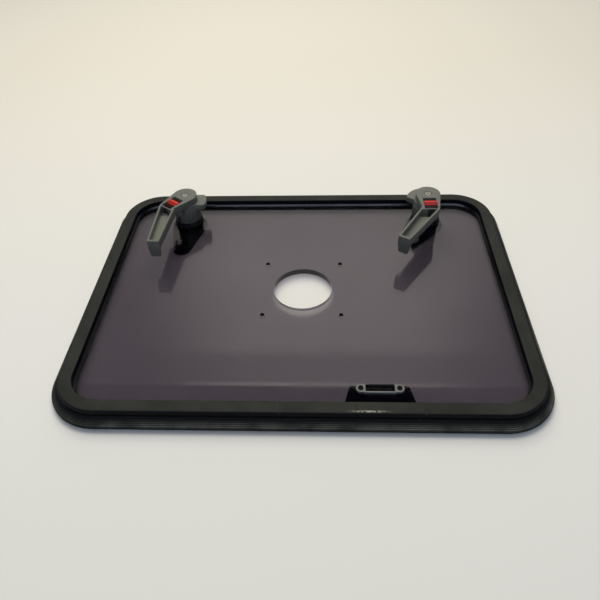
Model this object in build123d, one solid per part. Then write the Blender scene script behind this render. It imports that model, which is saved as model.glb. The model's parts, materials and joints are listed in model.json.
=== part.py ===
from build123d import *
import os

# Deck hatch lid, cabin side up.  Millimetres, +Z up, origin on the bench under the vent hole's centre.
# +Y is the latch side, -Y the stay side.

# Lid
LID_W = 560.0
LID_L = 428.0
CORNER_R = 62.0
STAND_Z = 6.0            # height of the lens's weather face above the bench
LENS_T = 8.0
VENT_R = 38.0
VENT_HOLE_R = 2.75
VENT_HOLE_PITCH = 98.0

# Rubber profiles round the edge
TRIM_W = 9.0             # sloping flange outside the seal
TRIM_WALL = 8.0          # rubber outside the lens's edge
TRIM_DROP = 0.8          # how far the trim hangs below the lens
TRIM_EDGE_H = 1.8        # thickness of the trim's outer lip
TRIM_RISE = 2.6          # top of the trim above the lens
TRIM_RIBS = 5
TRIM_RIB_R = 0.75
SEAL_GAP = 1.0           # groove between trim and seal
SEAL_W = 16.2
SEAL_H = 9.0
SEAL_ROUND = 3.0
SEAL_EDGE_R = 1.0
BEAD_R = 2.2
JOINT_X = 62.0           # where the ends of both rubbers meet
JOINT_GAP = 0.3

# Handles
HANDLE_FROM_SIDE = 79.8  # handle axis to the seal's inner face
HANDLE_FROM_FAR = 38.8
LEFT_HEAD_ANGLE = -126.0
RIGHT_HEAD_ANGLE = -89.0
BOSS_RIM = 0.8           # boss radius beyond the barrel's, at the boss's top
BOSS_FLARE = 1.6         # and how much wider its foot is
BOSS_H = 7.5
NECK_R = 13.0
NOTCH_ANGLES = (0.0, 45.0, 90.0)
NOTCH_W = 5.0
NOTCH_DEPTH = 3.0
BOSS_CHAMFER = 0.6
GASKET_T = 0.8
GASKET_INSET = 0.5
THRUST_T = 0.6
THRUST_INSET = 1.5
BARREL_R = 18.5
BARREL_TOP = 36.0        # above the lens's cabin face
BARREL_GAP = 0.2
BARREL_RIBS = 6
RIB_R = 1.0
RIB_FIRST = 52.0
RIB_LAST = 112.0
CAM_REACH = 29.5
CAM_T = 8.0
CAM_ANGLE = 126.0
CAM_NEAR = 11.0
CAM_FAR = 15.5
CAM_CHAMFER = 1.2
SPINDLE_R = 8.0
SPINDLE_SQUARE = 9.0
RUN_FIT = 0.05
END_GAP = 0.2
ORING_R = 0.95
GROOVE_GAP = 0.1
ORING_LEVELS = (4.5, 12.5)   # above the lens's weather face

# Lever
HEAD_R = 17.0
HEAD_T = 10.0
BEND_X = 34.0
BEND_R = 11.5
BEND_ANGLE = 33.5
ARM_LEN = 81.0
ARM_TIP_W = 16.3
ARM_T = 12.0
ARM_RIM = 2.5
ARM_FLOOR = 3.0
TIP_H = 25.5
TIP_T = 3.5
TIP_FOOT_W = 14.0
TIP_CHAMFER = 1.8
WINDOW_NEAR = 11.5
WINDOW_FAR = 37.0
WINDOW_W = 18.4
CROSSBAR_T = 1.4
POCKET_LEN = 5.5         # open pocket between crossbar and channel floor
SOCKET_DEPTH = 4.5       # square socket in the lever's underside
WASHER_R = 4.7
WASHER_T = 0.8
WASHER_SINK = 3.0
COUNTERBORE_GAP = 0.2
SCREW_R = 2.5
SCREW_HOLE_R = 2.7
SCREW_HEAD_R = 4.5
SCREW_HEAD_T = 2.2
SCREW_SOCKET_R = 1.9
SCREW_LEN = 16.0
SCREW_END_GAP = 2.0      # between the screw's end and the bottom of its hole

# Lock
LOCK_GAP = 0.5
LOCK_PIVOT_OUT = 4.5     # pivot outside the barrel
LOCK_PIVOT_H = 31.0      # above the lens's cabin face
LOCK_PIN_R = 1.5
LOCK_HUB_R = 3.4
CHEEK_T = 3.0            # lugs under the head that carry the pin
CHEEK_R = 3.5
BUTTON_NEAR = 17.8
BUTTON_FAR = 35.5
BUTTON_PROUD = 0.8
BUTTON_DEPTH = 9.0
BUTTON_HUMP_R = 3.0
BUTTON_DROP = 7.5        # fall of the thumb slope towards the arm
BUTTON_RIDGES = 4
RIDGE_R = 0.9
STEM_W = 8.0
LEG_T = 2.2
LEG_W = 4.0
LEG_BURIED = 1.7         # how far the leg is let into the barrel
LEG_SLOT_GAP = 0.8
LEG_END_GAP = 0.5        # leg's end above the thrust washer
SPRING_WIRE = 0.6
SPRING_TURNS = 3
SPRING_AIR = 0.15
SPRING_TAIL = 6.0

# Weather side
ESCUTCHEON_R = 24.0
ESCUTCHEON_T = 1.5
WEATHER_GASKET_T = 0.6
PLATE_GAP = 0.3
EXT_HEAD_R = 25.5
EXT_TIP_R = 12.5
EXT_LEN = 56.5
EXT_CHAMFER = 0.8
FINGER_LEN = 16.0
FINGER_W = 7.0
FINGER_ALONG = 41.0
FINGER_OFFSET = -7.2
SOCKET_SKIN = 0.9

# Stay fixing near the front edge
STAY_X = 89.6
STAY_FROM_FRONT = 22.8   # middle of the slot to the seal's inner face
EAR_SPACING = 42.4
EAR_R = 5.3
BRACKET_T = 3.0
BRACKET_HALF_W = 17.2
SLOT_W = 32.0
SLOT_L = 9.2
FAR_RIM = 1.2
FRONT_RIM = 1.8
FRONT_RIM_H = 3.6
STAY_SCREW_R = 2.0
STAY_SCREW_CLEAR = 0.3
STAY_SCREW_HEAD_R = 2.9
STAY_SCREW_HEAD_T = 1.6
STAY_SCREW_END_GAP = 1.0     # between the screw's end and the bottom of its hole
CROSS_W = 0.9
CROSS_DEPTH = 1.0
PAD_TOP_IN = 9.0         # the leaf's narrow end beyond the middle of the slot
PAD_LENGTH = 42.0
PAD_TOP_HALF = 33.0
PAD_FOOT_HALF = 43.0
PAD_CORNER_R = 4.0
PAD_CHAMFER = 1.0
PAD_HOLE_DEPTH = 4.5

# Places worked out from the sizes above
SEAL_INSET = TRIM_W + SEAL_GAP + SEAL_W
HANDLE_X = LID_W / 2 - SEAL_INSET - HANDLE_FROM_SIDE
HANDLE_Y = LID_L / 2 - SEAL_INSET - HANDLE_FROM_FAR
STAY_Y = SEAL_INSET - LID_L / 2 + STAY_FROM_FRONT
PAD_TOP_Y = STAY_Y + PAD_TOP_IN
PAD_FOOT_Y = PAD_TOP_Y - PAD_LENGTH
BOSS_R = BARREL_R + BOSS_RIM
BOSS_FOOT_R = BOSS_R + BOSS_FLARE
THRUST_R = BARREL_R - THRUST_INSET
LOCK_PIVOT_X = BARREL_R + LOCK_PIVOT_OUT
LEG_NEAR = BARREL_R - LEG_BURIED

# Levels worked out from the sizes above
LENS_TOP = STAND_Z + LENS_T
TRIM_FOOT = STAND_Z - TRIM_DROP
TRIM_TOP = LENS_TOP + TRIM_RISE
BOSS_TOP = LENS_TOP + BOSS_H
THRUST_TOP = BOSS_TOP + THRUST_T
BARREL_FOOT = THRUST_TOP + BARREL_GAP
LEVER_FOOT = LENS_TOP + BARREL_TOP
LEVER_TOP = LEVER_FOOT + HEAD_T
PIVOT_Z = LENS_TOP + LOCK_PIVOT_H
SOCKET_TOP = LEVER_FOOT + SOCKET_DEPTH
WASHER_Z = LEVER_TOP - WASHER_SINK
ESCUTCHEON_TOP = STAND_Z - WEATHER_GASKET_T
ESCUTCHEON_FOOT = ESCUTCHEON_TOP - ESCUTCHEON_T
EXT_TOP = ESCUTCHEON_FOOT - PLATE_GAP


def write(name, solid):
    """Save one node as its own STEP file."""
    solid.label = name
    export_step(solid, f"parts/{name}.step")


def slab(sketch, low, high):
    """A sketch drawn in plan, raised from one level to another."""
    return extrude(Pos(0, 0, low) * sketch, high - low, dir=(0, 0, 1))


def ring_slab(outer, inner, low, high):
    """A flat ring about the origin."""
    return slab(Circle(outer) - Circle(inner), low, high)


def edge_ring(section):
    """Carry a section, drawn as (minus inset, height), once round the lid and leave its butt joint open."""
    ring = Part()
    sides = ((LID_W / 2, LID_L / 2 - CORNER_R), (LID_L / 2, LID_W / 2 - CORNER_R))
    for quarter in range(4):
        reach, run = sides[quarter % 2]
        face = Pos(reach, 0, 0) * (Plane.XZ * section)
        straight = extrude(face, run, both=True)
        corner = revolve(Pos(0, run, 0) * face, Axis((reach - CORNER_R, run, 0), (0, 0, 1)), 90)
        ring += Rot(0, 0, 90 * quarter) * (straight + corner)
    joint = Pos(JOINT_X, -LID_L / 2) * Rectangle(JOINT_GAP, CORNER_R)
    return ring - slab(joint, 0, LENS_TOP + SEAL_H)


def across(radius, length):
    """A round bar along the lock's pivot."""
    return Pos(LOCK_PIVOT_X, 0, PIVOT_Z) * Rot(90, 0, 0) * Cylinder(radius, length)


# Lid pieces

def stay_screw_places():
    """Centres of the two stay screws, in plan."""
    return [Pos(STAY_X + side * EAR_SPACING / 2, STAY_Y, 0) for side in (-1, 1)]


def lens():
    """Acrylic plate with its vent, bolt, handle and stay holes."""
    outline = RectangleRounded(LID_W - 2 * TRIM_WALL, LID_L - 2 * TRIM_WALL, CORNER_R - TRIM_WALL)
    outline -= Circle(VENT_R)
    half = VENT_HOLE_PITCH / 2
    for x, y in ((-half, -half), (half, -half), (-half, half), (half, half)):
        outline -= Pos(x, y) * Circle(VENT_HOLE_R)
    for side in (-1, 1):
        outline -= Pos(side * HANDLE_X, HANDLE_Y) * Circle(NECK_R)
    for place in stay_screw_places():
        outline -= place * Circle(STAY_SCREW_R + STAY_SCREW_CLEAR)
    return slab(outline, STAND_Z, LENS_TOP)


def hatch_seal():
    """Flat-topped gasket on the lens's cabin face."""
    outer = SEAL_W - SEAL_INSET
    inner = -SEAL_INSET
    top = LENS_TOP + SEAL_H
    section = Polygon((outer, LENS_TOP), (outer, top), (inner, top), (inner, LENS_TOP), align=None)
    crown = section.vertices().group_by(Axis.Y)[-1].sort_by(Axis.X)
    section = fillet(crown[-1], SEAL_ROUND)
    inner_top = section.vertices().group_by(Axis.Y)[-1].sort_by(Axis.X)[0]
    return edge_ring(fillet(inner_top, SEAL_EDGE_R))


def edge_trim():
    """Ribbed sloping rubber that wraps the lens's edge."""
    lip_top = TRIM_FOOT + TRIM_EDGE_H
    section = Polygon(
        (0, TRIM_FOOT), (0, lip_top), (-TRIM_W, TRIM_TOP), (-TRIM_W, LENS_TOP),
        (-TRIM_WALL, LENS_TOP), (-TRIM_WALL, TRIM_FOOT), align=None,
    )
    for rib in range(TRIM_RIBS):
        share = (rib + 0.5) / TRIM_RIBS
        section += Pos(-TRIM_W * share, lip_top + (TRIM_TOP - lip_top) * share) * Circle(TRIM_RIB_R)
    return edge_ring(section)


def sealant_bead():
    """Quarter-round bead in the corner between seal and lens."""
    quarter = Circle(BEAD_R) & Pos(-BEAD_R / 2, BEAD_R / 2) * Rectangle(BEAD_R, BEAD_R)
    return edge_ring(Pos(-SEAL_INSET, LENS_TOP) * quarter)


def stay_pad():
    """Tapered leaf on the weather side, drilled from above for the stay screws."""
    outline = Polygon(
        (STAY_X - PAD_TOP_HALF, PAD_TOP_Y), (STAY_X + PAD_TOP_HALF, PAD_TOP_Y),
        (STAY_X + PAD_FOOT_HALF, PAD_FOOT_Y), (STAY_X - PAD_FOOT_HALF, PAD_FOOT_Y), align=None,
    )
    outline = fillet(outline.vertices(), PAD_CORNER_R)
    pad = slab(outline, 0, STAND_Z)
    pad = chamfer(pad.edges().group_by(Axis.Z)[0], PAD_CHAMFER)
    for place in stay_screw_places():
        pad -= place * slab(Circle(STAY_SCREW_R), STAND_Z - PAD_HOLE_DEPTH, STAND_Z)
    return pad


def stay_bracket():
    """Two-eared bracket with an open slot and a raised front rim."""
    far_y = SLOT_L / 2 + FAR_RIM
    front_y = -SLOT_L / 2 - FRONT_RIM
    outline = Pos(0, (far_y + front_y) / 2) * Rectangle(2 * BRACKET_HALF_W, far_y - front_y)
    for side in (-1, 1):
        outline += Pos(side * EAR_SPACING / 2, 0) * Circle(EAR_R)
        outline += Pos(side * EAR_SPACING / 4, 0) * Rectangle(EAR_SPACING / 2, 2 * EAR_R)
    outline -= Rectangle(SLOT_W, SLOT_L)
    bracket = slab(outline, LENS_TOP, LENS_TOP + BRACKET_T)
    rim = Pos(0, front_y + FRONT_RIM / 2) * Rectangle(2 * BRACKET_HALF_W, FRONT_RIM)
    bracket += slab(rim, LENS_TOP, LENS_TOP + FRONT_RIM_H)
    for side in (-1, 1):
        hole = Pos(side * EAR_SPACING / 2, 0) * Circle(STAY_SCREW_R + STAY_SCREW_CLEAR)
        bracket -= slab(hole, LENS_TOP, LENS_TOP + BRACKET_T)
    return Pos(STAY_X, STAY_Y, 0) * bracket


def bracket_screws():
    """The two screws down through bracket and lens into the leaf."""
    under_head = LENS_TOP + BRACKET_T
    shank = slab(Circle(STAY_SCREW_R), STAND_Z - PAD_HOLE_DEPTH + STAY_SCREW_END_GAP, under_head)
    head = slab(Circle(STAY_SCREW_HEAD_R), under_head, under_head + STAY_SCREW_HEAD_T)
    head = fillet(head.edges().group_by(Axis.Z)[-1], STAY_SCREW_HEAD_T / 2)
    cross = Rectangle(STAY_SCREW_HEAD_R, CROSS_W) + Rectangle(CROSS_W, STAY_SCREW_HEAD_R)
    head_top = under_head + STAY_SCREW_HEAD_T
    screw = shank + head - slab(cross, head_top - CROSS_DEPTH, head_top)
    return Compound([place * screw for place in stay_screw_places()])


# Handle pieces: drawn about the handle's axis with the lever's head along +X

def boss():
    """Fixed bush: flange on the cabin side, threaded neck through the lens, notched rim."""
    flange_h = BOSS_H - GASKET_T
    flange = Pos(0, 0, BOSS_TOP - flange_h / 2) * Cone(BOSS_FOOT_R, BOSS_R, flange_h)
    flange = chamfer(flange.edges().group_by(Axis.Z)[-1], BOSS_CHAMFER)
    body = flange + slab(Circle(NECK_R), ESCUTCHEON_FOOT, LENS_TOP + GASKET_T)
    body -= slab(Circle(SPINDLE_R + RUN_FIT), ESCUTCHEON_FOOT, BOSS_TOP)
    notch = Pos(THRUST_R + BOSS_R / 2, 0, BOSS_TOP - NOTCH_DEPTH / 2) * Box(BOSS_R, NOTCH_W, NOTCH_DEPTH)
    for angle in NOTCH_ANGLES:
        body -= Rot(0, 0, angle) * notch
    return body


def boss_gasket():
    """Rubber ring between boss and lens."""
    return ring_slab(BOSS_FOOT_R - GASKET_INSET, NECK_R, LENS_TOP, LENS_TOP + GASKET_T)


def escutcheon():
    """Round plate screwed onto the boss's neck."""
    return ring_slab(ESCUTCHEON_R, NECK_R, ESCUTCHEON_FOOT, ESCUTCHEON_TOP)


def escutcheon_gasket():
    """Rubber ring between escutcheon and lens."""
    return ring_slab(ESCUTCHEON_R - GASKET_INSET, NECK_R, ESCUTCHEON_TOP, STAND_Z)


def thrust_washer():
    """Slippery washer that the barrel turns on."""
    return ring_slab(THRUST_R, SPINDLE_R + 2 * RUN_FIT, BOSS_TOP, THRUST_TOP)


def spindle():
    """Round in the boss, square in the barrel, the lever and the exterior lever."""
    square = Rectangle(SPINDLE_SQUARE, SPINDLE_SQUARE)
    top = SOCKET_TOP - END_GAP
    bar = slab(square, SOCKET_SKIN, top)
    bar += slab(Circle(SPINDLE_R), EXT_TOP, BARREL_FOOT)
    groove_floor = SPINDLE_R + RUN_FIT / 2 - 2 * ORING_R
    for level in ORING_LEVELS:
        middle = STAND_Z + level
        half = ORING_R + GROOVE_GAP
        bar -= ring_slab(2 * SPINDLE_R, groove_floor, middle - half, middle + half)
    return bar - slab(Circle(SCREW_R), WASHER_Z + WASHER_T - SCREW_LEN - SCREW_END_GAP, top)


def spindle_orings():
    """The two rings that keep water out round the spindle."""
    ring = Torus(SPINDLE_R + RUN_FIT / 2 - ORING_R, ORING_R)
    return Compound([Pos(0, 0, STAND_Z + level) * ring for level in ORING_LEVELS])


def cam_barrel():
    """Ribbed barrel with the cam nose at its top."""
    barrel = slab(Circle(BARREL_R), BARREL_FOOT, LEVER_FOOT)
    for rib in range(BARREL_RIBS):
        angle = RIB_FIRST + (RIB_LAST - RIB_FIRST) * rib / (BARREL_RIBS - 1)
        barrel += Rot(0, 0, angle) * Pos(BARREL_R, 0) * slab(Circle(RIB_R), BARREL_FOOT, LEVER_FOOT - CAM_T)
    strip = Pos(CAM_REACH / 2, (CAM_FAR - CAM_NEAR) / 2) * Rectangle(CAM_REACH, CAM_FAR + CAM_NEAR)
    nose = slab(Circle(CAM_REACH) & strip, LEVER_FOOT - CAM_T, LEVER_FOOT)
    nose = chamfer(nose.edges().filter_by(Axis.Z).group_by(Axis.X)[-1], CAM_CHAMFER)
    barrel += Rot(0, 0, CAM_ANGLE) * nose
    slot_floor = LEG_NEAR - LEG_SLOT_GAP
    slot = Pos(slot_floor + BARREL_R / 2, 0) * Rectangle(BARREL_R, LEG_W + 2 * LEG_SLOT_GAP)
    barrel -= slab(slot, BARREL_FOOT, LEVER_FOOT)
    return barrel - slab(Rectangle(SPINDLE_SQUARE, SPINDLE_SQUARE), BARREL_FOOT, LEVER_FOOT)


def arm_outline(inset, start, end):
    """The arm in plan, drawn from the bend along the arm's own +X, tapering to its tip."""
    def half_width(along):
        return BEND_R + (ARM_TIP_W / 2 - BEND_R) * along / ARM_LEN - inset
    shape = Polygon(
        (start, -half_width(start)), (end, -half_width(end)), (end, half_width(end)),
        (start, half_width(start)), align=None,
    )
    return Pos(BEND_X, 0) * Rot(0, 0, BEND_ANGLE) * shape


def lever():
    """Cranked lever: window in the head for the lock, open channel in the arm, turned-down tip."""
    head = make_hull((Circle(HEAD_R) + Pos(BEND_X, 0) * Circle(BEND_R)).edges())
    body = slab(head, LEVER_FOOT, LEVER_TOP)
    body += slab(arm_outline(0, 0, ARM_LEN) + Pos(BEND_X, 0) * Circle(BEND_R), LEVER_TOP - ARM_T, LEVER_TOP)
    window = Pos((WINDOW_NEAR + WINDOW_FAR) / 2, 0) * Rectangle(WINDOW_FAR - WINDOW_NEAR, WINDOW_W)
    body -= slab(window & head, LEVER_FOOT - ARM_T, LEVER_TOP)
    channel = arm_outline(ARM_RIM, 0, ARM_LEN - TIP_T)
    bar_end = WINDOW_FAR + CROSSBAR_T
    beyond_bar = Pos(bar_end + ARM_LEN / 2, 0) * Rectangle(ARM_LEN, 2 * ARM_LEN)
    pocket = channel & (Pos(bar_end + POCKET_LEN / 2, 0) * Rectangle(POCKET_LEN, 2 * ARM_LEN))
    body -= slab(channel & beyond_bar, LEVER_TOP - ARM_T + ARM_FLOOR, LEVER_TOP)
    body -= slab(pocket, LEVER_TOP - ARM_T, LEVER_TOP)
    tip = Polygon(
        (-ARM_TIP_W / 2, 0), (ARM_TIP_W / 2, 0), (TIP_FOOT_W / 2, TIP_CHAMFER - TIP_H),
        (TIP_FOOT_W / 2 - TIP_CHAMFER, -TIP_H), (TIP_CHAMFER - TIP_FOOT_W / 2, -TIP_H),
        (-TIP_FOOT_W / 2, TIP_CHAMFER - TIP_H), align=None,
    )
    flange = extrude(Plane.YZ * tip, TIP_T, dir=(1, 0, 0))
    body += Pos(BEND_X, 0, LEVER_TOP) * Rot(0, 0, BEND_ANGLE) * Pos(ARM_LEN - TIP_T, 0, 0) * flange
    cheek = Pos(LOCK_PIVOT_X, PIVOT_Z) * Circle(CHEEK_R)
    cheek += Pos(LOCK_PIVOT_X, (PIVOT_Z + LEVER_FOOT) / 2) * Rectangle(2 * CHEEK_R, LEVER_FOOT - PIVOT_Z)
    for side in (-1, 1):
        middle = side * (WINDOW_W + CHEEK_T) / 2
        body += Pos(0, middle, 0) * extrude(Plane.XZ * cheek, CHEEK_T / 2, both=True)
    body -= across(LOCK_PIN_R, WINDOW_W + 2 * CHEEK_T)
    body -= slab(Rectangle(SPINDLE_SQUARE, SPINDLE_SQUARE), LEVER_FOOT, SOCKET_TOP)
    body -= slab(Circle(SCREW_HOLE_R), SOCKET_TOP, WASHER_Z)
    return body - slab(Circle(WASHER_R + COUNTERBORE_GAP), WASHER_Z, LEVER_TOP)


def handle_washer():
    """Washer in the lever's counterbore."""
    return ring_slab(WASHER_R, SCREW_HOLE_R, WASHER_Z, WASHER_Z + WASHER_T)


def handle_screw():
    """Pan head screw into the top of the spindle."""
    under_head = WASHER_Z + WASHER_T
    shank = slab(Circle(SCREW_R), under_head - SCREW_LEN, under_head)
    head = slab(Circle(SCREW_HEAD_R), under_head, under_head + SCREW_HEAD_T)
    head = fillet(head.edges().group_by(Axis.Z)[-1], SCREW_HEAD_T / 2)
    socket = RegularPolygon(SCREW_SOCKET_R, 6)
    return shank + head - slab(socket, under_head, under_head + SCREW_HEAD_T)


def lock_button():
    """Ridged thumb button, its stem and hub on the pin, and the leg down the barrel's side."""
    width = WINDOW_W - 2 * LOCK_GAP
    top = LEVER_TOP + BUTTON_PROUD
    foot = top - BUTTON_DEPTH
    hump_x = BUTTON_NEAR + BUTTON_HUMP_R
    side = Polygon(
        (BUTTON_NEAR, foot), (BUTTON_FAR, foot), (BUTTON_FAR, top - BUTTON_DROP),
        (hump_x, top), (BUTTON_NEAR, top - BUTTON_HUMP_R), align=None,
    )
    side += Pos(hump_x, top - BUTTON_HUMP_R) * Circle(BUTTON_HUMP_R)
    for ridge in range(BUTTON_RIDGES):
        share = (ridge + 0.5) / BUTTON_RIDGES
        side += Pos(hump_x + share * (BUTTON_FAR - hump_x), top - share * BUTTON_DROP) * Circle(RIDGE_R)
    button = extrude(Plane.XZ * side, width / 2, both=True)
    leg_foot = THRUST_TOP + LEG_END_GAP
    stem = Pos(LOCK_PIVOT_X, PIVOT_Z) * Circle(LOCK_HUB_R)
    stem += Pos(LOCK_PIVOT_X, (PIVOT_Z + foot) / 2) * Rectangle(2 * LOCK_HUB_R, foot - PIVOT_Z)
    leg = Pos(LEG_NEAR + LEG_T / 2, (leg_foot + PIVOT_Z) / 2) * Rectangle(LEG_T, PIVOT_Z - leg_foot)
    bridge_w = LOCK_PIVOT_X - LEG_NEAR
    leg += Pos(LEG_NEAR + bridge_w / 2, PIVOT_Z - LEG_T / 2) * Rectangle(bridge_w, LEG_T)
    lock = button + extrude(Plane.XZ * stem, STEM_W / 2, both=True)
    lock += extrude(Plane.XZ * leg, LEG_W / 2, both=True)
    return lock - across(LOCK_PIN_R + RUN_FIT, 2 * WINDOW_W)


def lock_pin():
    """Pin across the two cheeks under the lever's head."""
    return across(LOCK_PIN_R, WINDOW_W + 2 * CHEEK_T)


def lock_spring():
    """Torsion spring on the pin, beside the lock's hub, with two straight tails."""
    pitch = SPRING_WIRE + SPRING_AIR
    height = pitch * SPRING_TURNS
    coil = Helix(pitch, height, LOCK_PIN_R + SPRING_WIRE)
    tail_in = Line(coil @ 0 - (coil % 0) * SPRING_TAIL, coil @ 0)
    tail_out = Line(coil @ 1, coil @ 1 + (coil % 1) * SPRING_TAIL)
    path = Wire([tail_in, coil, tail_out])
    section = Plane(origin=path @ 0, z_dir=path % 0) * Circle(SPRING_WIRE / 2)
    spring = sweep(section, path, is_frenet=True)
    middle = (STEM_W / 2 + WINDOW_W / 2) / 2
    return Pos(LOCK_PIVOT_X, middle + height / 2, PIVOT_Z) * Rot(90, 0, 0) * spring


def exterior_lever():
    """Teardrop lever on the weather side, with a slot for a finger and a blind square socket."""
    tip = Pos(EXT_LEN, 0) * Circle(EXT_TIP_R)
    outline = make_hull((Circle(EXT_HEAD_R) + tip).edges())
    plate = slab(outline, 0, EXT_TOP)
    plate = chamfer(plate.edges().group_by(Axis.Z)[0], EXT_CHAMFER)
    slot = Pos(FINGER_ALONG, FINGER_OFFSET) * SlotOverall(FINGER_LEN, FINGER_W)
    plate -= slab(slot, 0, EXT_TOP)
    plate = Rot(0, 0, BEND_ANGLE) * plate
    return plate - slab(Rectangle(SPINDLE_SQUARE, SPINDLE_SQUARE), SOCKET_SKIN, EXT_TOP)


# Each handle piece, and whether it turns with the lever
HANDLE_PIECES = (
    (boss, False),
    (boss_gasket, False),
    (escutcheon, False),
    (escutcheon_gasket, False),
    (thrust_washer, False),
    (spindle, True),
    (spindle_orings, True),
    (cam_barrel, True),
    (lever, True),
    (handle_washer, True),
    (handle_screw, True),
    (lock_button, True),
    (lock_pin, True),
    (lock_spring, True),
    (exterior_lever, True),
)
LID_PIECES = (lens, hatch_seal, edge_trim, sealant_bead, stay_pad, stay_bracket, bracket_screws)


def left_place(solid):
    """Put a handle piece on the left of the lid."""
    return Pos(-HANDLE_X, HANDLE_Y, 0) * Rot(0, 0, LEFT_HEAD_ANGLE) * solid


def right_place(solid, turns):
    """Put the mirror image of a handle piece on the right, turned as its lever is at rest."""
    angle = RIGHT_HEAD_ANGLE if turns else -180.0 - LEFT_HEAD_ANGLE
    return Pos(HANDLE_X, HANDLE_Y, 0) * Rot(0, 0, angle) * mirror(solid, Plane.XZ)


def main():
    """Build every node."""
    os.makedirs("parts", exist_ok=True)
    for make in LID_PIECES:
        write(make.__name__, make())
    for make, turns in HANDLE_PIECES:
        solid = make()
        write(f"left_{make.__name__}", left_place(solid))
        write(f"right_{make.__name__}", right_place(solid, turns))


main()
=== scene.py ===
"""The looks of a marine deck hatch lid, which lies on a bench with its cabin side up.

The lid has a smoked lens, rubber round its edge, two cranked cam latches with their locks, and a stay
fixing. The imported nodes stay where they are, and finished pieces stand for those whose shape needs
softer edges or finer detail. The latches and the stay fixing are softened copies of their nodes. The
rubber is swept afresh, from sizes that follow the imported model's.
"""

from __future__ import annotations

import json
import logging
import math
from dataclasses import dataclass
from enum import Enum
from typing import Iterable, Sequence

import bmesh
import bpy
from mathutils import Matrix, Vector


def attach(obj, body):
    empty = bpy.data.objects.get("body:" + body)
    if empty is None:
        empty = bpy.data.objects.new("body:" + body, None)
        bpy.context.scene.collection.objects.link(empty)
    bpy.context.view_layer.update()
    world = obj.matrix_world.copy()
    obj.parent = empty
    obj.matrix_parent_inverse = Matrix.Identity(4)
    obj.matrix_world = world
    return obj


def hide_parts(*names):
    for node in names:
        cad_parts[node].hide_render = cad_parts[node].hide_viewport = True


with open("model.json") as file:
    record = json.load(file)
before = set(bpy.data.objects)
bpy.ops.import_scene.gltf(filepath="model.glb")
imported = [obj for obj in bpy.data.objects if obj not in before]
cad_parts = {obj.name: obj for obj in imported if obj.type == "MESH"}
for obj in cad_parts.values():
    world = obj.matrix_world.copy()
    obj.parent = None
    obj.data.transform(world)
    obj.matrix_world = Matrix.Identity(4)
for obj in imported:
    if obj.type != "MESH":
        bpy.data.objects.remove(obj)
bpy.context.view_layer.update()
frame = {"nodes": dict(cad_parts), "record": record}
MM = 0.001
Colour = tuple[float, float, float]
Point = tuple[float, float]
Span = tuple[float, float]
log = logging.getLogger("hatch")


class Side(Enum):
    """The two latches, named as seen from the stay side."""

    LEFT = "left"
    RIGHT = "right"


class Coat(Enum):
    """The record's material slots."""

    LENS = "smoked_acrylic"
    SEAL = "seal_rubber"
    TRIM = "trim_rubber"
    SEALANT = "sealant"
    GASKET = "gasket_rubber"
    BLACK = "black_plastic"
    GREY = "grey_plastic"
    PALE = "light_grey_plastic"
    RED = "red_plastic"
    WHITE = "white_plastic"
    STEEL = "stainless_steel"
    SPRING = "dark_steel"


# ---------------------------------------------------------------------------------------------
# Finishes


@dataclass(frozen=True)
class Pattern:
    """A noise pattern: features per metre, octaves of finer noise, and how each axis is scaled first."""

    scale: float
    detail: float
    stretch: tuple[float, float, float] = (1, 1, 1)


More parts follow.
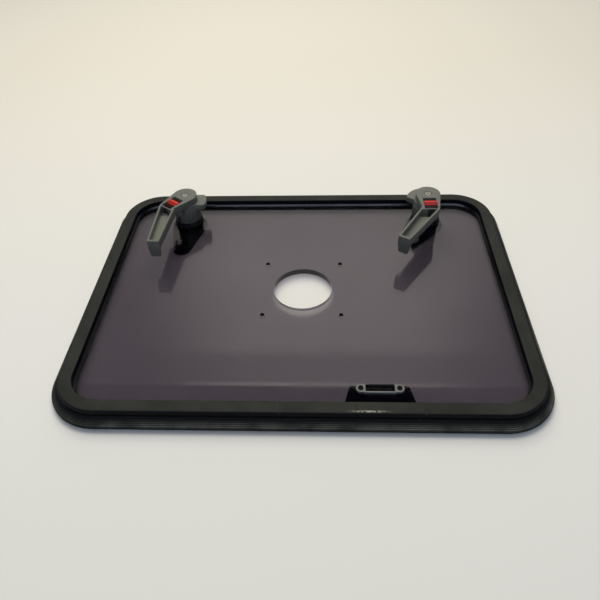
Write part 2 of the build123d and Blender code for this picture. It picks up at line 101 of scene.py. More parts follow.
class Sheet:
    """A node tree under construction, with short calls for the nodes that finishes and sky share."""

    def __init__(self, tree: bpy.types.NodeTree, output: str, place: str) -> None:
        """Empty the tree, and start it again with its output and its coordinates.

        Args:
            tree: the node tree.
            output: the output node's type name.
            place: which of the Texture Coordinate node's outputs patterns and steps read.
        """
        self.tree = tree
        tree.nodes.clear()
        self.output = self.add(output)
        self.place = self.add("ShaderNodeTexCoord").outputs[place]

    def add(self, kind: str, **settings: object) -> bpy.types.Node:
        """Add one node.

        Args:
            kind: the node's type name.
            settings: attributes to set on it.

        Returns:
            The node.
        """
        node = self.tree.nodes.new(kind)
        for key, value in settings.items():
            setattr(node, key, value)
        return node

    def link(self, source: bpy.types.NodeSocket, target: bpy.types.NodeSocket) -> None:
        """Join two sockets."""
        self.tree.links.new(source, target)

    def feed(self, target: bpy.types.NodeSocket, value: object) -> None:
        """Set a socket to a number or colour, or join it to another socket.

        Args:
            target: the socket to feed.
            value: a socket, a number or a tuple.
        """
        if isinstance(value, bpy.types.NodeSocket):
            self.link(value, target)
        elif isinstance(value, tuple) and target.type == "RGBA":
            target.default_value = (*value, 1.0)
        else:
            target.default_value = value

    def noise(self, pattern: Pattern) -> bpy.types.NodeSocket:
        """Lay a noise pattern over the sheet's coordinates.

        Args:
            pattern: its scale, octaves and stretch.

        Returns:
            The noise's factor, from 0 to 1.
        """
        mapping = self.add("ShaderNodeMapping")
        mapping.inputs["Scale"].default_value = pattern.stretch
        self.link(self.place, mapping.inputs["Vector"])
        noise = self.add("ShaderNodeTexNoise")
        noise.inputs["Scale"].default_value = pattern.scale
        noise.inputs["Detail"].default_value = pattern.detail
        self.link(mapping.outputs["Vector"], noise.inputs["Vector"])
        return noise.outputs["Fac"]

    def fit(self, value: bpy.types.NodeSocket, low: float, high: float, to_low: float = 0.0,
            to_high: float = 1.0) -> bpy.types.NodeSocket:
        """Map a range of values smoothly onto another.

        Args:
            value: the socket to map.
            low: the value that gives to_low.
            high: the value that gives to_high.
            to_low: the result at low.
            to_high: the result at high.

        Returns:
            The mapped value.
        """
        node = self.add("ShaderNodeMapRange", interpolation_type="SMOOTHSTEP")
        self.link(value, node.inputs["Value"])
        for key, number in (("From Min", low), ("From Max", high), ("To Min", to_low), ("To Max", to_high)):
            node.inputs[key].default_value = number
        return node.outputs["Result"]

    def math(self, operation: str, *values: object) -> bpy.types.NodeSocket:
        """One sum on sockets and numbers.

        Args:
            operation: the name of a Math node's operation.
            values: its inputs in order.

        Returns:
            The result.
        """
        node = self.add("ShaderNodeMath", operation=operation)
        for slot, value in zip(node.inputs, values):
            self.feed(slot, value)
        return node.outputs[0]

    def product(self, first: bpy.types.NodeSocket, *others: object) -> bpy.types.NodeSocket:
        """Multiply sockets and numbers.

        Args:
            first: a socket.
            others: what it is multiplied by, in order.

        Returns:
            The product.
        """
        for other in others:
            first = self.math("MULTIPLY", first, other)
        return first

    def blend(self, share: object, first: object, second: object) -> bpy.types.NodeSocket:
        """Mix two colours.

        Args:
            share: how much of the second colour shows, a socket or a number.
            first: a colour or a socket.
            second: a colour or a socket.

        Returns:
            The mixed colour.
        """
        node = self.add("ShaderNodeMix", data_type="RGBA")
        self.feed(node.inputs["Factor"], share)
        for key, value in (("A", first), ("B", second)):
            self.feed(next(s for s in node.inputs if s.name == key and s.type == "RGBA"), value)
        return next(s for s in node.outputs if s.type == "RGBA")

    def axis(self, vector: bpy.types.NodeSocket, name: str) -> bpy.types.NodeSocket:
        """Take one component of a vector.

        Args:
            vector: the vector's socket.
            name: X, Y or Z.

        Returns:
            The component.
        """
        node = self.add("ShaderNodeSeparateXYZ")
        self.link(vector, node.inputs["Vector"])
        return node.outputs[name]


class Sketch(Sheet):
    """A material under construction."""

    def __init__(self, name: str) -> None:
        """Start an empty material.

        Args:
            name: the material's name.
        """
        self.material = bpy.data.materials.new(name)
        self.material.use_nodes = True
        super().__init__(self.material.node_tree, "ShaderNodeOutputMaterial", "Object")
        self.shader = self.add("ShaderNodeBsdfPrincipled")
        self.link(self.shader.outputs["BSDF"], self.output.inputs["Surface"])

    def facing_up(self) -> bpy.types.NodeSocket:
        """How far the surface faces up, from -1 to 1."""
        return self.axis(self.add("ShaderNodeNewGeometry").outputs["Normal"], "Z")

    def below(self, full_mm: float, none_mm: float) -> bpy.types.NodeSocket:
        """One up to a height, fading to nothing at another."""
        return self.fit(self.axis(self.place, "Z"), full_mm * MM, none_mm * MM, 1.0, 0.0)

    def near(self, axis: str, middle_mm: float, reach_mm: float, full: float) -> bpy.types.NodeSocket:
        """One on a line across an axis, fading to nothing on both sides.

        Args:
            axis: X, Y or Z.
            middle_mm: where the line is.
            reach_mm: how far the fade goes.
            full: the share of the reach before the fade starts.

        Returns:
            The share, from 0 to 1.
        """
        off = self.math("ABSOLUTE", self.math("SUBTRACT", self.axis(self.place, axis), middle_mm * MM))
        return self.fit(off, full * reach_mm * MM, reach_mm * MM, 1.0, 0.0)

    def patch(self, at: Point, reach: Point, full: Point = (0.0, 0.0)) -> bpy.types.NodeSocket:
        """One over a rectangle in plan, fading to nothing round it.

        Args:
            at: the rectangle's middle in millimetres.
            reach: how far the fade goes along X and along Y.
            full: the share of each reach before the fade starts.

        Returns:
            The share, from 0 to 1.
        """
        across, along = (self.near(axis, *sizes) for axis, *sizes in zip("XY", at, reach, full))
        return self.product(across, along)

    def roughen(self, pattern: bpy.types.NodeSocket, levels: Span, middle: float, change: Span) -> None:
        """Vary the shader's roughness with a pattern.

        Args:
            pattern: the pattern's socket.
            levels: the pattern's values at which the roughness stops changing.
            middle: the roughness to vary.
            change: what is added to it at each of the levels.
        """
        low, high = (middle + step for step in change)
        self.feed(self.shader.inputs["Roughness"], self.fit(pattern, *levels, low, high))

    def bump(self, height: bpy.types.NodeSocket, depth_mm: float) -> None:
        """Roughen the shader's normal.

        Args:
            height: the relief, from 0 to 1.
            depth_mm: the relief's depth.
        """
        node = self.add("ShaderNodeBump")
        node.inputs["Distance"].default_value = depth_mm * MM
        self.link(height, node.inputs["Height"])
        if self.shader.inputs["Normal"].is_linked:
            self.link(self.shader.inputs["Normal"].links[0].from_socket, node.inputs["Normal"])
        self.link(node.outputs["Normal"], self.shader.inputs["Normal"])


@dataclass(frozen=True)
class MouldedFinish:
    """Injection-moulded plastic: fine grain, flow marks, rubbed high spots, dirt spots, and shade painted
    in low places.
    """

    name: str
    colour: Colour
    rubbed: Colour
    grime_and_shade: Colour = (0.02, 0.02, 0.018)
    roughness: float = 0.5
    grain_mm: float = 0.02
    wear: float = 0.25
    dirt: float = 0.15
    sheen: float = 0.5
    lit_from_mm: float = 0.0
    shaded_to_mm: float = -1.0
    slot_shade: float = 0.0
    slot_shade_at: Point = (89.6, -159.8)
    slot_shade_half: Point = (16.2, 0.8)
    slot_shade_full: Point = (0.92, 0.8)
    shaded_pockets: tuple[Point, ...] = ()
    pocket_half: Point = (6.0, 6.0)
    pocket_full: Point = (0.6, 0.6)
    pocket_top_mm: float = 59.4
    pocket_fade_mm: float = 0.8
    flow: Pattern = Pattern(60, 4, (1, 1, 0.4))
    flow_levels: Span = (0.35, 0.75)
    spots: Pattern = Pattern(420, 4)
    spot_levels: Span = (0.52, 0.72)
    grain: Pattern = Pattern(1600, 2)
    gloss_levels: Span = (0.3, 0.7)
    gloss_change: Span = (-0.06, 0.08)

    def make(self) -> bpy.types.Material:
        """Build the material.

        Returns:
            The material.
        """
        sketch = Sketch(self.name)
        flow = sketch.noise(self.flow)
        share = sketch.product(sketch.fit(flow, *self.flow_levels), self.wear)
        worn = sketch.blend(share, self.colour, self.rubbed)
        dirt_and_shade = sketch.product(sketch.fit(sketch.noise(self.spots), *self.spot_levels), self.dirt)
        # Below a height the colour turns to the dark colour, painted as shade; on the lock button this
        # darkens its lower slope and ridges.
        dirt_and_shade = sketch.math("MAXIMUM", dirt_and_shade, sketch.below(self.shaded_to_mm, self.lit_from_mm))
        # A thin strip on the stay bracket is painted with the dark colour as the shade inside its slot.
        in_slot = sketch.patch(self.slot_shade_at, self.slot_shade_half, self.slot_shade_full)
        dirt_and_shade = sketch.math("MAXIMUM", dirt_and_shade, sketch.product(in_slot, self.slot_shade))
        # In each lever's pocket, below its rim, the dark colour is painted as the shade that falls in the
        # pocket.
        sunk = sketch.below(self.pocket_top_mm - self.pocket_fade_mm, self.pocket_top_mm)
        for pocket in self.shaded_pockets:
            inside = sketch.patch(pocket, self.pocket_half, self.pocket_full)
            dirt_and_shade = sketch.math("MAXIMUM", dirt_and_shade, sketch.product(inside, sunk))
        # The dark colour stands for dirt in the spots and for painted shade everywhere else it is laid.
        sketch.feed(sketch.shader.inputs["Base Color"], sketch.blend(dirt_and_shade, worn, self.grime_and_shade))
        sketch.roughen(flow, self.gloss_levels, self.roughness, self.gloss_change)
        sketch.shader.inputs["Specular IOR Level"].default_value = self.sheen
        sketch.bump(sketch.noise(self.grain), self.grain_mm)
        return sketch.material


@dataclass(frozen=True)
class RubberFinish:
    """Extruded rubber: dull, mottled, pale dust where it faces up, painted shade on its other faces, scuffs
    at its butt joint.
    """

    name: str
    colour: Colour
    dust: Colour
    # Painted shade: the darker colour for faces that don't face up.
    painted_side_shade: Colour = (0.0025, 0.003, 0.004)
    scuff: Colour = (0.40, 0.38, 0.28)
    scuff_at: Point = (76.0, -200.4)
    scuff_reach: Point = (27.0, 2.0)
    dust_share: float = 0.5
    patchy: float = 0.5
    dust_and_lit_tilt: Span = (0.75, 0.98)
    shaded_above_mm: float = 99.0
    shade_fade_mm: float = 5.0
    roughness: float = 0.62
    sheen: float = 0.12
    grit: float = 0.2
    patches: Pattern = Pattern(28, 5)
    patch_levels: Span = (0.35, 0.65)
    specks: Pattern = Pattern(520, 5)
    speck_levels: Span = (0.66, 0.76)
    tears: Pattern = Pattern(260, 6, (1, 2.2, 1))
    tear_levels: Span = (0.42, 0.56)
    gloss_levels: Span = (0.3, 0.7)
    gloss_change: Span = (-0.08, 0.1)
    grain: Pattern = Pattern(900, 3)
    grain_mm: float = 0.06
    waves: Pattern = Pattern(45, 3)
    wave_mm: float = 0.35

    def make(self) -> bpy.types.Material:
        """Build the material.

        Returns:
            The material.
        """
        sketch = Sketch(self.name)
        patches = sketch.noise(self.patches)
        # How far a face tilts up sets both where dust settles and where the top colour shows instead of the
        # painted shade.
        up = sketch.fit(sketch.facing_up(), *self.dust_and_lit_tilt)
        settled = sketch.product(sketch.fit(patches, *self.patch_levels, 1.0 - self.patchy, 1.0), up)
        # Dust thins out over a height range and is gone above it; on the trim this leaves the flange's
        # upper part, up against the seal, dark as painted shade of the groove.
        low = sketch.below(self.shaded_above_mm - self.shade_fade_mm, self.shaded_above_mm)
        share = sketch.product(settled, low, self.dust_share)
        # Faces that don't face up get a darker colour painted as the shade on the rubber's walls and
        # rounds; dust goes on top of that.
        dust_and_shade = sketch.blend(share, sketch.blend(up, self.painted_side_shade, self.colour), self.dust)
        grit = sketch.product(sketch.fit(sketch.noise(self.specks), *self.speck_levels), self.grit)
        dust_and_shade = sketch.blend(grit, dust_and_shade, self.scuff)
        torn = sketch.product(sketch.fit(sketch.noise(self.tears), *self.tear_levels), up)
        scuffed = sketch.product(sketch.patch(self.scuff_at, self.scuff_reach), torn)
        sketch.feed(sketch.shader.inputs["Base Color"], sketch.blend(scuffed, dust_and_shade, self.scuff))
        sketch.roughen(patches, self.gloss_levels, self.roughness, self.gloss_change)
        sketch.shader.inputs["Specular IOR Level"].default_value = self.sheen
        sketch.bump(sketch.noise(self.grain), self.grain_mm)
        sketch.bump(sketch.noise(self.waves), self.wave_mm)
        return sketch.material


@dataclass(frozen=True)
class SteelFinish:
    """Turned stainless steel with a fine grain and tea-coloured stains."""

    name: str
    colour: Colour = (0.82, 0.79, 0.70)
    stain: Colour = (0.55, 0.46, 0.30)
    stained: float = 0.4
    roughness: float = 0.42
    stains: Pattern = Pattern(500, 3)
    stain_levels: Span = (0.3, 0.7)
    streaks: Pattern = Pattern(2200, 2, (1, 1, 0.1))
    gloss_levels: Span = (0.2, 0.8)
    gloss_change: Span = (-0.08, 0.12)
    grain_mm: float = 0.01

    def make(self) -> bpy.types.Material:
        """Build the material.

        Returns:
            The material.
        """
        sketch = Sketch(self.name)
        streaks = sketch.noise(self.streaks)
        sketch.shader.inputs["Metallic"].default_value = 1.0
        share = sketch.fit(sketch.noise(self.stains), *self.stain_levels, 0.0, self.stained)
        sketch.feed(sketch.shader.inputs["Base Color"], sketch.blend(share, self.colour, self.stain))
        sketch.roughen(streaks, self.gloss_levels, self.roughness, self.gloss_change)
        sketch.bump(streaks, self.grain_mm)
        return sketch.material


@dataclass(frozen=True)
class AcrylicFinish:
    """Smoked acrylic: clear tinted body, polished faces with faint wipe marks and a few scratches."""

    name: str
    tint: Colour = (0.316, 0.292, 0.338)
    sawn: Colour = (0.02, 0.022, 0.024)
    roughness: float = 0.015
    refraction: float = 1.49
    hazy_shade: float = 0.93
    haze: Pattern = Pattern(9, 5)
    haze_levels: Span = (0.3, 0.75)
    side_levels: Span = (0.3, 0.6)
    wipes: Pattern = Pattern(14, 4, (1, 0.35, 1))
    wipe_levels: Span = (0.35, 0.75)
    wipe_rough: float = 0.03
    scratches: Pattern = Pattern(90, 2, (0.12, 3.0, 1))
    scratch_levels: Span = (0.70, 0.73)
    scratch_rough: float = 0.06

    def make(self) -> bpy.types.Material:
        """Build the material, which lets lamps through so that what lies below is lit.

        Returns:
            The material.
        """
        sketch = Sketch(self.name)
        shader = sketch.shader
        darker = tuple(self.hazy_shade * c for c in self.tint)
        body = sketch.blend(sketch.fit(sketch.noise(self.haze), *self.haze_levels), darker, self.tint)
        geometry = sketch.add("ShaderNodeNewGeometry")
        flat = sketch.math("ABSOLUTE", sketch.axis(geometry.outputs["True Normal"], "Z"))
        outside = sketch.math("SUBTRACT", 1.0, geometry.outputs["Backfacing"])
        sawn = sketch.product(sketch.fit(flat, *self.side_levels, 1.0, 0.0), outside)
        sketch.feed(shader.inputs["Base Color"], sketch.blend(sawn, body, self.sawn))
        shader.inputs["Transmission Weight"].default_value = 1.0
        shader.inputs["IOR"].default_value = self.refraction
        wiped = sketch.fit(sketch.noise(self.wipes), *self.wipe_levels, 0.0, self.wipe_rough)
        lines = sketch.fit(sketch.noise(self.scratches), *self.scratch_levels, 0.0, self.scratch_rough)
        rough = sketch.math("ADD", sketch.math("ADD", wiped, lines), self.roughness)
        sketch.feed(shader.inputs["Roughness"], rough)
        through = sketch.add("ShaderNodeBsdfTransparent")
        through.inputs["Color"].default_value = (*(math.sqrt(c) for c in self.tint), 1.0)
        lamp_ray = sketch.add("ShaderNodeLightPath").outputs["Is Shadow Ray"]
        either = sketch.add("ShaderNodeMixShader")
        sketch.link(lamp_ray, either.inputs["Fac"])
        sketch.link(shader.outputs["BSDF"], either.inputs[1])
        sketch.link(through.outputs["BSDF"], either.inputs[2])
        sketch.link(either.outputs["Shader"], sketch.output.inputs["Surface"])
        return sketch.material


def palette() -> dict[str, bpy.types.Material]:
    """Make every finish once.

    Returns:
        The material for each of the record's slots.
    """
    seal = RubberFinish("extruded_rubber", (0.014, 0.014, 0.012), (0.060, 0.060, 0.047)).make()
    # The trim's flange keeps its dust low down and gets painted shade up against the seal.
    trim = RubberFinish("ribbed_rubber", (0.006, 0.0065, 0.007), (0.115, 0.117, 0.095), dust_share=0.95,
                        patchy=0.7, dust_and_lit_tilt=(0.2, 0.7), shaded_above_mm=15.5, shade_fade_mm=7.0, sheen=0.08).make()
    soft = RubberFinish("gasket_rubber", (0.02, 0.02, 0.02), (0.05, 0.05, 0.045), dust_share=0.2).make()
    return {
        Coat.LENS.value: AcrylicFinish("smoked_acrylic").make(),
        Coat.SEAL.value: seal,
        Coat.TRIM.value: trim,
        Coat.SEALANT.value: RubberFinish("sealant", (0.006, 0.006, 0.007), (0.01, 0.01, 0.01),
                                         roughness=0.22, sheen=0.5, dust_share=0.2).make(),
        Coat.GASKET.value: soft,
        Coat.BLACK.value: MouldedFinish("black_moulding", (0.005, 0.005, 0.006), (0.016, 0.016, 0.016),
                                        roughness=0.4, sheen=0.25).make(),
        # The grey levers get painted shade in their pockets.
        Coat.GREY.value: MouldedFinish("grey_moulding", (0.132, 0.135, 0.108), (0.18, 0.182, 0.14),
                                       shaded_pockets=((-198.2, 115.7), (174.7, 107.9))).make(),
        # The pale bracket gets painted shade in its slot.
        Coat.PALE.value: MouldedFinish("pale_moulding", (0.17, 0.17, 0.15), (0.22, 0.22, 0.19), dirt=0.3,
                                       slot_shade=1.0).make(),
        # The red lock button gets painted shade on its lower slope.
        Coat.RED.value: MouldedFinish("red_moulding", (0.6, 0.03, 0.012), (0.75, 0.08, 0.03),
                                      grime_and_shade=(0.03, 0.003, 0.002), roughness=0.45, lit_from_mm=60.4,
                                      shaded_to_mm=57.0).make(),
        Coat.WHITE.value: MouldedFinish("white_moulding", (0.7, 0.7, 0.66), (0.6, 0.6, 0.55)).make(),
        Coat.STEEL.value: SteelFinish("stainless").make(),
        Coat.SPRING.value: SteelFinish("dark_steel", (0.035, 0.035, 0.036), (0.03, 0.02, 0.015),
                                       stained=0.8, roughness=0.4).make(),
    }


# ---------------------------------------------------------------------------------------------
# Shapes


@dataclass(frozen=True)
class Piece:
    """What a finished piece is called, what it moves with, and which node it stands for."""

    node: str
    finish: bpy.types.Material
    body: str
    slot: str

    @classmethod
    def standing_for(cls, node: str, finishes: dict[str, bpy.types.Material]) -> Piece:
        """A piece that takes its body and its slot from the node it stands for.

        Args:
            node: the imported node.
            finishes: the material for each slot.

        Returns:
            The piece.
        """
        record = frame["record"]
        slot = next(part["material_slot"] for part in record["subparts"] if part["node"] == node)
        body = next(key for key, members in record["behaviour"]["bodies"].items() if node in members)
        return cls(node, finishes[slot], body, slot)


class Blank:
    """A shape under construction, with the moves that the pieces share. Lengths are in millimetres."""

    same_point_mm: float = 0.001
    same_end_mm: float = 0.0001
    same_face: float = math.radians(0.5)

    def __init__(self) -> None:
        """Start with nothing."""
        self.shape = bmesh.new()

    @classmethod
    def copy_of(cls, node: str) -> Blank:
        """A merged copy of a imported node, with its flat faces whole again.

        Args:
            node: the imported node.

        Returns:
            The blank.
        """
        blank = cls()
        blank.shape.from_mesh(frame["nodes"][node].data)
        bmesh.ops.remove_doubles(blank.shape, verts=blank.shape.verts, dist=cls.same_point_mm * MM)
        bmesh.ops.dissolve_limit(blank.shape, angle_limit=cls.same_face, verts=blank.shape.verts,
                                 edges=blank.shape.edges)
        return blank

    def outline(self, points: Sequence[Sequence[float]]) -> bmesh.types.BMFace:
        """Lay one flat face through points."""
        return self.shape.faces.new([self.shape.verts.new(Vector(point) * MM) for point in points])

    def round_off(self, corners: Iterable[bmesh.types.BMVert], radius: float, segments: int) -> None:
        """Round corners of a flat face.

        Args:
            corners: the corners to round.
            radius: how far the rounding reaches along each side.
            segments: pieces in each rounding.
        """
        bmesh.ops.bevel(self.shape, geom=list(corners), offset=radius * MM, segments=segments,
                        profile=0.5, affect="VERTICES", material=-1)

    def open_up(self) -> list[bmesh.types.BMEdge]:
        """Drop the faces and keep their outline.

        Returns:
            The outline's edges.
        """
        rim = [edge for edge in self.shape.edges if edge.is_boundary]
        bmesh.ops.delete(self.shape, geom=list(self.shape.faces), context="FACES_ONLY")
        return rim

    def push(self, rim: list[bmesh.types.BMEdge], by: Vector, steps: int) -> list[bmesh.types.BMEdge]:
        """Carry an outline straight along.

        Args:
            rim: the outline's edges.
            by: how far, in millimetres.
            steps: in how many pieces.

        Returns:
            The outline's edges at the far end.
        """
        for _ in range(steps):
            grown = bmesh.ops.extrude_edge_only(self.shape, edges=rim)["geom"]
            moved = [item for item in grown if isinstance(item, bmesh.types.BMVert)]
            bmesh.ops.translate(self.shape, verts=moved, vec=by * MM / steps)
            rim = [item for item in grown if isinstance(item, bmesh.types.BMEdge)
                   and all(vert in moved for vert in item.verts)]
        return rim

    def swing(self, rim: list[bmesh.types.BMEdge], centre: Point, degrees: float,
              steps: int) -> list[bmesh.types.BMEdge]:
        """Carry an outline round an upright axis.

        Args:
            rim: the outline's edges.
            centre: the axis in plan.
            degrees: how far round.
            steps: facets in the bend.

        Returns:
            The outline's edges at the far end.
        """
        ends = list({vert for edge in rim for vert in edge.verts})
        swept = bmesh.ops.spin(self.shape, geom=rim + ends, cent=Vector((*centre, 0.0)) * MM,
                               axis=(0, 0, 1), angle=math.radians(degrees), steps=steps, dvec=(0, 0, 0))
        return [item for item in swept["geom_last"] if isinstance(item, bmesh.types.BMEdge)]

    def soften(self, radius: float, angle: float, segments: int) -> None:
        """Round every edge that is sharper than an angle.

        Args:
            radius: how far the rounding reaches.
            angle: the least angle between two faces that counts, in degrees.
            segments: pieces in each rounding.
        """
        limit = math.radians(angle)
        sharp = [edge for edge in self.shape.edges if edge.is_manifold and edge.calc_face_angle() > limit]
        bmesh.ops.bevel(self.shape, geom=sharp, offset=radius * MM, segments=segments, profile=0.5,
                        affect="EDGES", material=-1, clamp_overlap=True)

    def finish(self, piece: Piece, smooth: float = 40.0) -> bpy.types.Object:
        """Turn the shape into a finished piece.

        Args:
            piece: its material, body, slot and node.
            smooth: faces that meet at less than this angle are shaded as one surface.

        Returns:
            The piece's object.
        """
        bmesh.ops.remove_doubles(self.shape, verts=self.shape.verts, dist=self.same_end_mm * MM)
        bmesh.ops.recalc_face_normals(self.shape, faces=self.shape.faces)
        mesh = bpy.data.meshes.new(f"{piece.node}_look")
        self.shape.to_mesh(mesh)
        self.shape.free()
        mesh.shade_smooth()
        mesh.set_sharp_from_angle(angle=math.radians(smooth))
        thing = bpy.data.objects.new(mesh.name, mesh)
        bpy.context.scene.collection.objects.link(thing)
        mesh.materials.append(piece.finish)
        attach(thing, piece.body)
        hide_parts(piece.node)
        return thing


# ---------------------------------------------------------------------------------------------
# The lid


@dataclass
class EdgeRubber:
    """The rubber round the lid: flat-topped seal, ribbed flange and the bead in the seal's foot."""

    finishes: dict[str, bpy.types.Material]
    width: float = 560.0
    length: float = 428.0
    corner: float = 62.0
    joint_x: float = 62.0
    joint_gap: float = 0.3
    lens_top: float = 14.0
    trim_foot: float = 5.2
    trim_lip: float = 7.0
    trim_top: float = 16.6
    trim_width: float = 9.0
    trim_wall: float = 8.0
    ribs: int = 6
    rib_depth: float = 0.7
    seal_from: float = 10.0
    seal_width: float = 16.2
    seal_height: float = 9.0
    seal_round: float = 3.0
    seal_round_steps: int = 6
    seal_edge: float = 1.2
    seal_edge_steps: int = 4
    fold_round: float = 0.45
    fold_steps: int = 2
    bead: float = 2.2
    bead_middle: float = 0.55
    bead_round: float = 0.6
    bead_steps: int = 3
    smooth: float = 60.0
    corner_steps: int = 30
    run_steps: int = 6

    def section(self, points: Sequence[Point]) -> tuple[Blank, list[bmesh.types.BMVert]]:
        """Lay a section beside the joint, on the front edge.

        Args:
            points: its corners as (distance in from the lid's side, height).

        Returns:
            The blank and the section's corners in order.
        """
        blank = Blank()
        start = self.joint_x + self.joint_gap / 2
        face = blank.outline([(start, inset - self.length / 2, height) for inset, height in points])
        return blank, list(face.verts)

    def carry(self, blank: Blank) -> None:
        """Carry a section from one side of the joint right round the lid to the other, and cap its ends.

        Args:
            blank: holds the section's face.
        """
        half_w = self.width / 2 - self.corner
        half_l = self.length / 2 - self.corner
        start = self.joint_x + self.joint_gap / 2
        rim = blank.push(blank.open_up(), Vector((half_w - start, 0, 0)), self.run_steps)
        for corner, run in (
            ((half_w, -half_l), Vector((0, 2 * half_l, 0))),
            ((half_w, half_l), Vector((-2 * half_w, 0, 0))),
            ((-half_w, half_l), Vector((0, -2 * half_l, 0))),
            ((-half_w, -half_l), Vector((half_w + self.joint_x - self.joint_gap / 2, 0, 0))),
        ):
            rim = blank.push(blank.swing(rim, corner, 90, self.corner_steps), run, self.run_steps)
        ends = [edge for edge in blank.shape.edges if edge.is_boundary]
        bmesh.ops.holes_fill(blank.shape, edges=ends, sides=0)

    def seal(self) -> bpy.types.Object:
        """The flat-topped gasket, rounded outside and crisper inside.

        Returns:
            The piece's object.
        """
        inner = self.seal_from + self.seal_width
        top = self.lens_top + self.seal_height
        blank, corners = self.section([
            (self.seal_from, self.lens_top), (inner, self.lens_top), (inner, top), (self.seal_from, top)])
        blank.round_off([corners[3]], self.seal_round, self.seal_round_steps)
        blank.round_off([corners[2]], self.seal_edge, self.seal_edge_steps)
        self.carry(blank)
        return blank.finish(Piece.standing_for("hatch_seal", self.finishes))

    def trim(self) -> bpy.types.Object:
        """The sloping flange, folded into fine ribs, with its wall down the lens's edge.

        Returns:
            The piece's object.
        """
        blank, corners = self.section([
            (0, self.trim_foot), (self.trim_wall, self.trim_foot), (self.trim_wall, self.lens_top),
            (self.trim_width, self.lens_top), (self.trim_width, self.trim_top), (0, self.trim_lip)])
        slope = next(edge for edge in corners[4].link_edges if corners[5] in edge.verts)
        across = Vector((0, self.trim_lip - self.trim_top, self.trim_width)).normalized()
        cut = bmesh.ops.subdivide_edges(blank.shape, edges=[slope], cuts=2 * self.ribs)["geom_inner"]
        folds = [item for item in cut if isinstance(item, bmesh.types.BMVert)]
        folds.sort(key=lambda vert: vert.co.y)
        for crest in folds[1:-1:2]:
            crest.co += across * self.rib_depth * MM
        blank.round_off(folds[1:-1], self.fold_round, self.fold_steps)
        self.carry(blank)
        return blank.finish(Piece.standing_for("edge_trim", self.finishes), self.smooth)

    def beading(self) -> bpy.types.Object:
        """The bead in the corner between seal and lens.

        Returns:
            The piece's object.
        """
        foot = self.seal_from + self.seal_width
        middle = self.bead_middle * self.bead
        blank, corners = self.section([
            (foot, self.lens_top), (foot + self.bead, self.lens_top),
            (foot + middle, self.lens_top + middle), (foot, self.lens_top + self.bead)])
        blank.round_off([corners[2]], self.bead_round * self.bead, self.bead_steps)
        self.carry(blank)
        return blank.finish(Piece.standing_for("sealant_bead", self.finishes), self.smooth)

    def build(self) -> list[bpy.types.Object]:
        """Make all three runs of rubber."""
        return [self.seal(), self.trim(), self.beading()]


@dataclass(frozen=True)
class Softened:
    """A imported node's shape with its edges eased as moulding or machining leaves them."""

    node: str
    radius: float
    segments: int
    angle: float = 38.0

    def build(self, finishes: dict[str, bpy.types.Material], node: str = "") -> bpy.types.Object:
        """Make the piece.

        Args:
            finishes: the material for each slot.
            node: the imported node, where it isn't the one named at the start.

        Returns:
            The piece's object.
        """
        node = node or self.node
        blank = Blank.copy_of(node)
        blank.soften(self.radius, self.angle, self.segments)
        return blank.finish(Piece.standing_for(node, finishes))


@dataclass
class StayFixing:
    """Two-eared bracket, its screws, and the leaf on the weather side."""

    finishes: dict[str, bpy.types.Material]
    parts: tuple[Softened, ...] = (
        Softened("stay_bracket", 0.45, 3),
        Softened("bracket_screws", 0.15, 2),
        Softened("stay_pad", 0.5, 3),
    )

    def build(self) -> list[bpy.types.Object]:
        """Make the bracket, the screws and the leaf."""
        return [part.build(self.finishes) for part in self.parts]


@dataclass
class LatchHandle:
    """One cranked latch: boss, barrel, lever, lock, screw and the lever on the weather side."""

    side: Side
    finishes: dict[str, bpy.types.Material]
    parts: tuple[Softened, ...] = (
        Softened("lever", 0.7, 3),
        Softened("cam_barrel", 0.22, 2),
        Softened("boss", 0.4, 2),
        Softened("lock_button", 0.35, 3),
        Softened("handle_screw", 0.15, 2),
        Softened("handle_washer", 0.12, 2),
        Softened("exterior_lever", 0.6, 3),
        Softened("escutcheon", 0.4, 3),
    )

    def build(self) -> list[bpy.types.Object]:
        """Make every visible piece of the latch."""
        return [part.build(self.finishes, f"{self.side.value}_{part.node}") for part in self.parts]


def dress_nodes(finishes: dict[str, bpy.types.Material]) -> None:
    """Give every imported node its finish.

    Args:
        finishes: the material for each slot.
    """
    for entry in frame["record"]["subparts"]:
        node = frame["nodes"][entry["node"]]
        node.data.materials.clear()
        node.data.materials.append(finishes[entry["material_slot"]])


# ---------------------------------------------------------------------------------------------
# The room


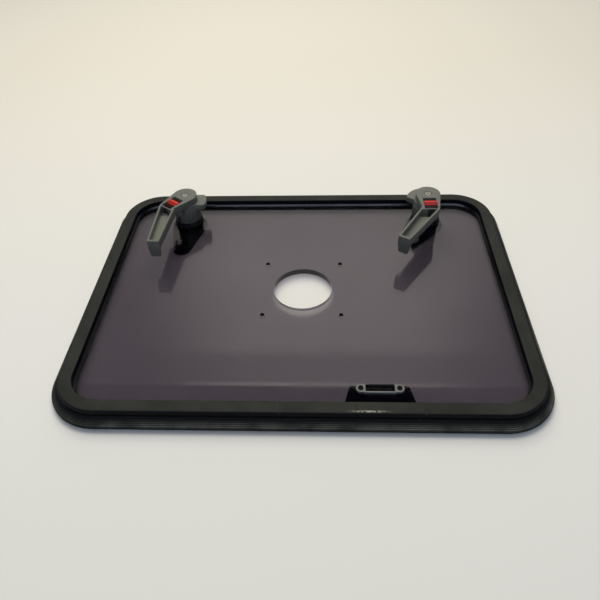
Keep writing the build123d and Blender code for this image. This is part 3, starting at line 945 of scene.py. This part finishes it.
@dataclass
class Studio:
    """A pale bench, a soft room round it, and the camera."""

    bench_size: float = 24.0
    bench_tone: Colour = (0.765, 0.745, 0.665)
    # Painted light: the bench's far side takes this warmer, darker tone.
    bench_far_painted_light_tone: Colour = (0.70, 0.65, 0.53)
    wall_tone: Colour = (1.20, 1.12, 1.02)
    low_wall_tone: Colour = (0.88, 0.83, 0.76)
    sill_tone: Colour = (0.66, 0.61, 0.58)
    edge_tone: Colour = (1.55, 1.43, 1.28)
    side_tone: Colour = (0.20, 0.19, 0.20)
    upper_tone: Colour = (0.02, 0.02, 0.05)
    near_tone: Colour = (0.13, 0.17, 0.29)
    glow_tone: Colour = (1.25, 1.42, 1.75)
    zenith_tone: Colour = (0.8, 0.8, 0.8)
    horizon_tone: Colour = (0.29, 0.29, 0.28)
    wall_top: float = 1.263
    low_wall: Span = (0.65, 0.90)
    sill_foot: Span = (1.10, 1.16)
    edge_band: float = 0.020
    edge_blur: float = 0.004
    left_fall: Span = (-0.52, -0.14)
    right_fall: Span = (0.50, 0.10)
    near_fall: Span = (-0.25, 0.05)
    zenith_rise: Span = (0.90, 0.97)
    horizon_fall: Span = (0.22, 0.12)
    glow_back: Span = (-0.30, -0.42)
    glow_rise: Span = (0.64, 0.72)
    nearest_ahead: float = 0.02
    lens_mm: float = 35.77
    camera_at: tuple[float, float, float] = (0.0327, -0.5732, 0.5348)
    look_down: float = 43.34
    heading: float = 3.70
    tilt: float = -2.47
    sensor_mm: float = 36.0
    nearest_seen: float = 0.01
    bench_patches: Pattern = Pattern(1.2, 3)
    patch_levels: Span = (0.3, 0.7)
    patch_change: Span = (-0.06, 0.06)
    bench_turn: Span = (-0.3, 0.9)
    bench_roughness: float = 0.8
    bench_sheen: float = 0.2
    bench_cells: int = 8
    lamp_at: tuple[float, float, float] = (-0.2, 0.95, 1.95)
    lamp_size: float = 1.8
    lamp_watts: float = 43.0
    lamp_tone: Colour = (1.0, 0.975, 0.92)

    def bench(self) -> None:
        """Lay the pale surface that the lid lies on, with painted light that turns it warmer and darker
        towards the far side.
        """
        shape = bmesh.new()
        bmesh.ops.create_grid(shape, x_segments=self.bench_cells, y_segments=self.bench_cells,
                              size=self.bench_size / 2)
        mesh = bpy.data.meshes.new("bench")
        shape.to_mesh(mesh)
        shape.free()
        bench = bpy.data.objects.new("bench", mesh)
        bpy.context.scene.collection.objects.link(bench)
        sketch = Sketch("bench_card")
        patch = sketch.fit(sketch.noise(self.bench_patches), *self.patch_levels, *self.patch_change)
        # The bench's tone turns warmer and darker towards the far side, painted to stand for how the light
        # falls across it.
        far = sketch.fit(sketch.axis(sketch.place, "Y"), *self.bench_turn)
        tone = sketch.blend(sketch.math("ADD", far, patch), self.bench_tone, self.bench_far_painted_light_tone)
        sketch.feed(sketch.shader.inputs["Base Color"], tone)
        sketch.shader.inputs["Roughness"].default_value = self.bench_roughness
        sketch.shader.inputs["Specular IOR Level"].default_value = self.bench_sheen
        mesh.materials.append(sketch.material)

    def room(self) -> None:
        """Light the lid from all round.

        A wall stands beyond the bench, brightest in its middle and just under its straight top edge.
        """
        world = bpy.data.worlds.new("room")
        bpy.context.scene.world = world
        world.use_nodes = True
        sky = Sheet(world.node_tree, "ShaderNodeOutputWorld", "Generated")
        east, north, height = (sky.axis(sky.place, name) for name in "XYZ")
        ahead = sky.math("MAXIMUM", north, self.nearest_ahead)
        rise = sky.math("DIVIDE", height, ahead)
        aside = sky.math("DIVIDE", east, ahead)
        wall = sky.blend(sky.fit(rise, *self.low_wall), self.low_wall_tone, self.wall_tone)
        wall = sky.blend(sky.fit(rise, *self.sill_foot), wall, self.sill_tone)
        at_edge = sky.fit(rise, self.wall_top - self.edge_band, self.wall_top - self.edge_band / 2)
        wall = sky.blend(at_edge, wall, self.edge_tone)
        middle = sky.product(sky.fit(aside, *self.left_fall), sky.fit(aside, *self.right_fall))
        wall = sky.blend(middle, self.side_tone, wall)
        above = sky.fit(rise, self.wall_top - self.edge_blur, self.wall_top + self.edge_blur)
        whole = sky.blend(above, wall, self.upper_tone)
        whole = sky.blend(sky.fit(north, *self.near_fall), self.near_tone, whole)
        whole = sky.blend(sky.fit(height, *self.zenith_rise), whole, self.zenith_tone)
        whole = sky.blend(sky.fit(height, *self.horizon_fall), whole, self.horizon_tone)
        behind = sky.product(sky.fit(north, *self.glow_back), sky.fit(height, *self.glow_rise))
        background = sky.add("ShaderNodeBackground")
        sky.feed(background.inputs["Color"], sky.blend(behind, whole, self.glow_tone))
        sky.link(background.outputs["Background"], sky.output.inputs["Surface"])

    def lamp(self) -> None:
        """Hang one soft lamp that points at the lid and isn't seen in its polished faces."""
        data = bpy.data.lights.new("far_panel", "AREA")
        data.size = self.lamp_size
        data.energy = self.lamp_watts
        data.color = self.lamp_tone
        at = Vector(self.lamp_at)
        lamp = bpy.data.objects.new("far_panel", data)
        lamp.location = at
        lamp.rotation_euler = (-at).to_track_quat("-Z", "Y").to_euler()
        lamp.visible_glossy = False
        lamp.visible_transmission = False
        bpy.context.scene.collection.objects.link(lamp)

    def camera(self) -> None:
        """Stand the camera in front of the lid and above it."""
        data = bpy.data.cameras.new("camera")
        data.lens = self.lens_mm
        data.sensor_width = self.sensor_mm
        data.clip_start = self.nearest_seen
        data.dof.use_dof = False
        camera = bpy.data.objects.new("camera", data)
        turn = Matrix.Rotation(math.radians(self.heading), 4, "Z")
        turn @= Matrix.Rotation(math.radians(90 - self.look_down), 4, "X")
        turn @= Matrix.Rotation(math.radians(self.tilt), 4, "Z")
        camera.matrix_world = Matrix.Translation(self.camera_at) @ turn
        bpy.context.scene.collection.objects.link(camera)
        bpy.context.scene.camera = camera

    def build(self) -> None:
        """Set the whole room up."""
        self.bench()
        self.room()
        self.lamp()
        self.camera()
        bpy.context.scene.view_settings.view_transform = "Standard"


def main() -> None:
    """Build the room, dress the lid and report each piece."""
    logging.basicConfig(level=logging.INFO, format="%(message)s")
    Studio().build()
    finishes = palette()
    dress_nodes(finishes)
    assemblies = (EdgeRubber(finishes), StayFixing(finishes), LatchHandle(Side.LEFT, finishes),
                  LatchHandle(Side.RIGHT, finishes))
    for assembly in assemblies:
        for thing in assembly.build():
            log.info("%s: %s, %d faces", type(assembly).__name__, thing.name, len(thing.data.polygons))


if __name__ == "__main__":
    main()
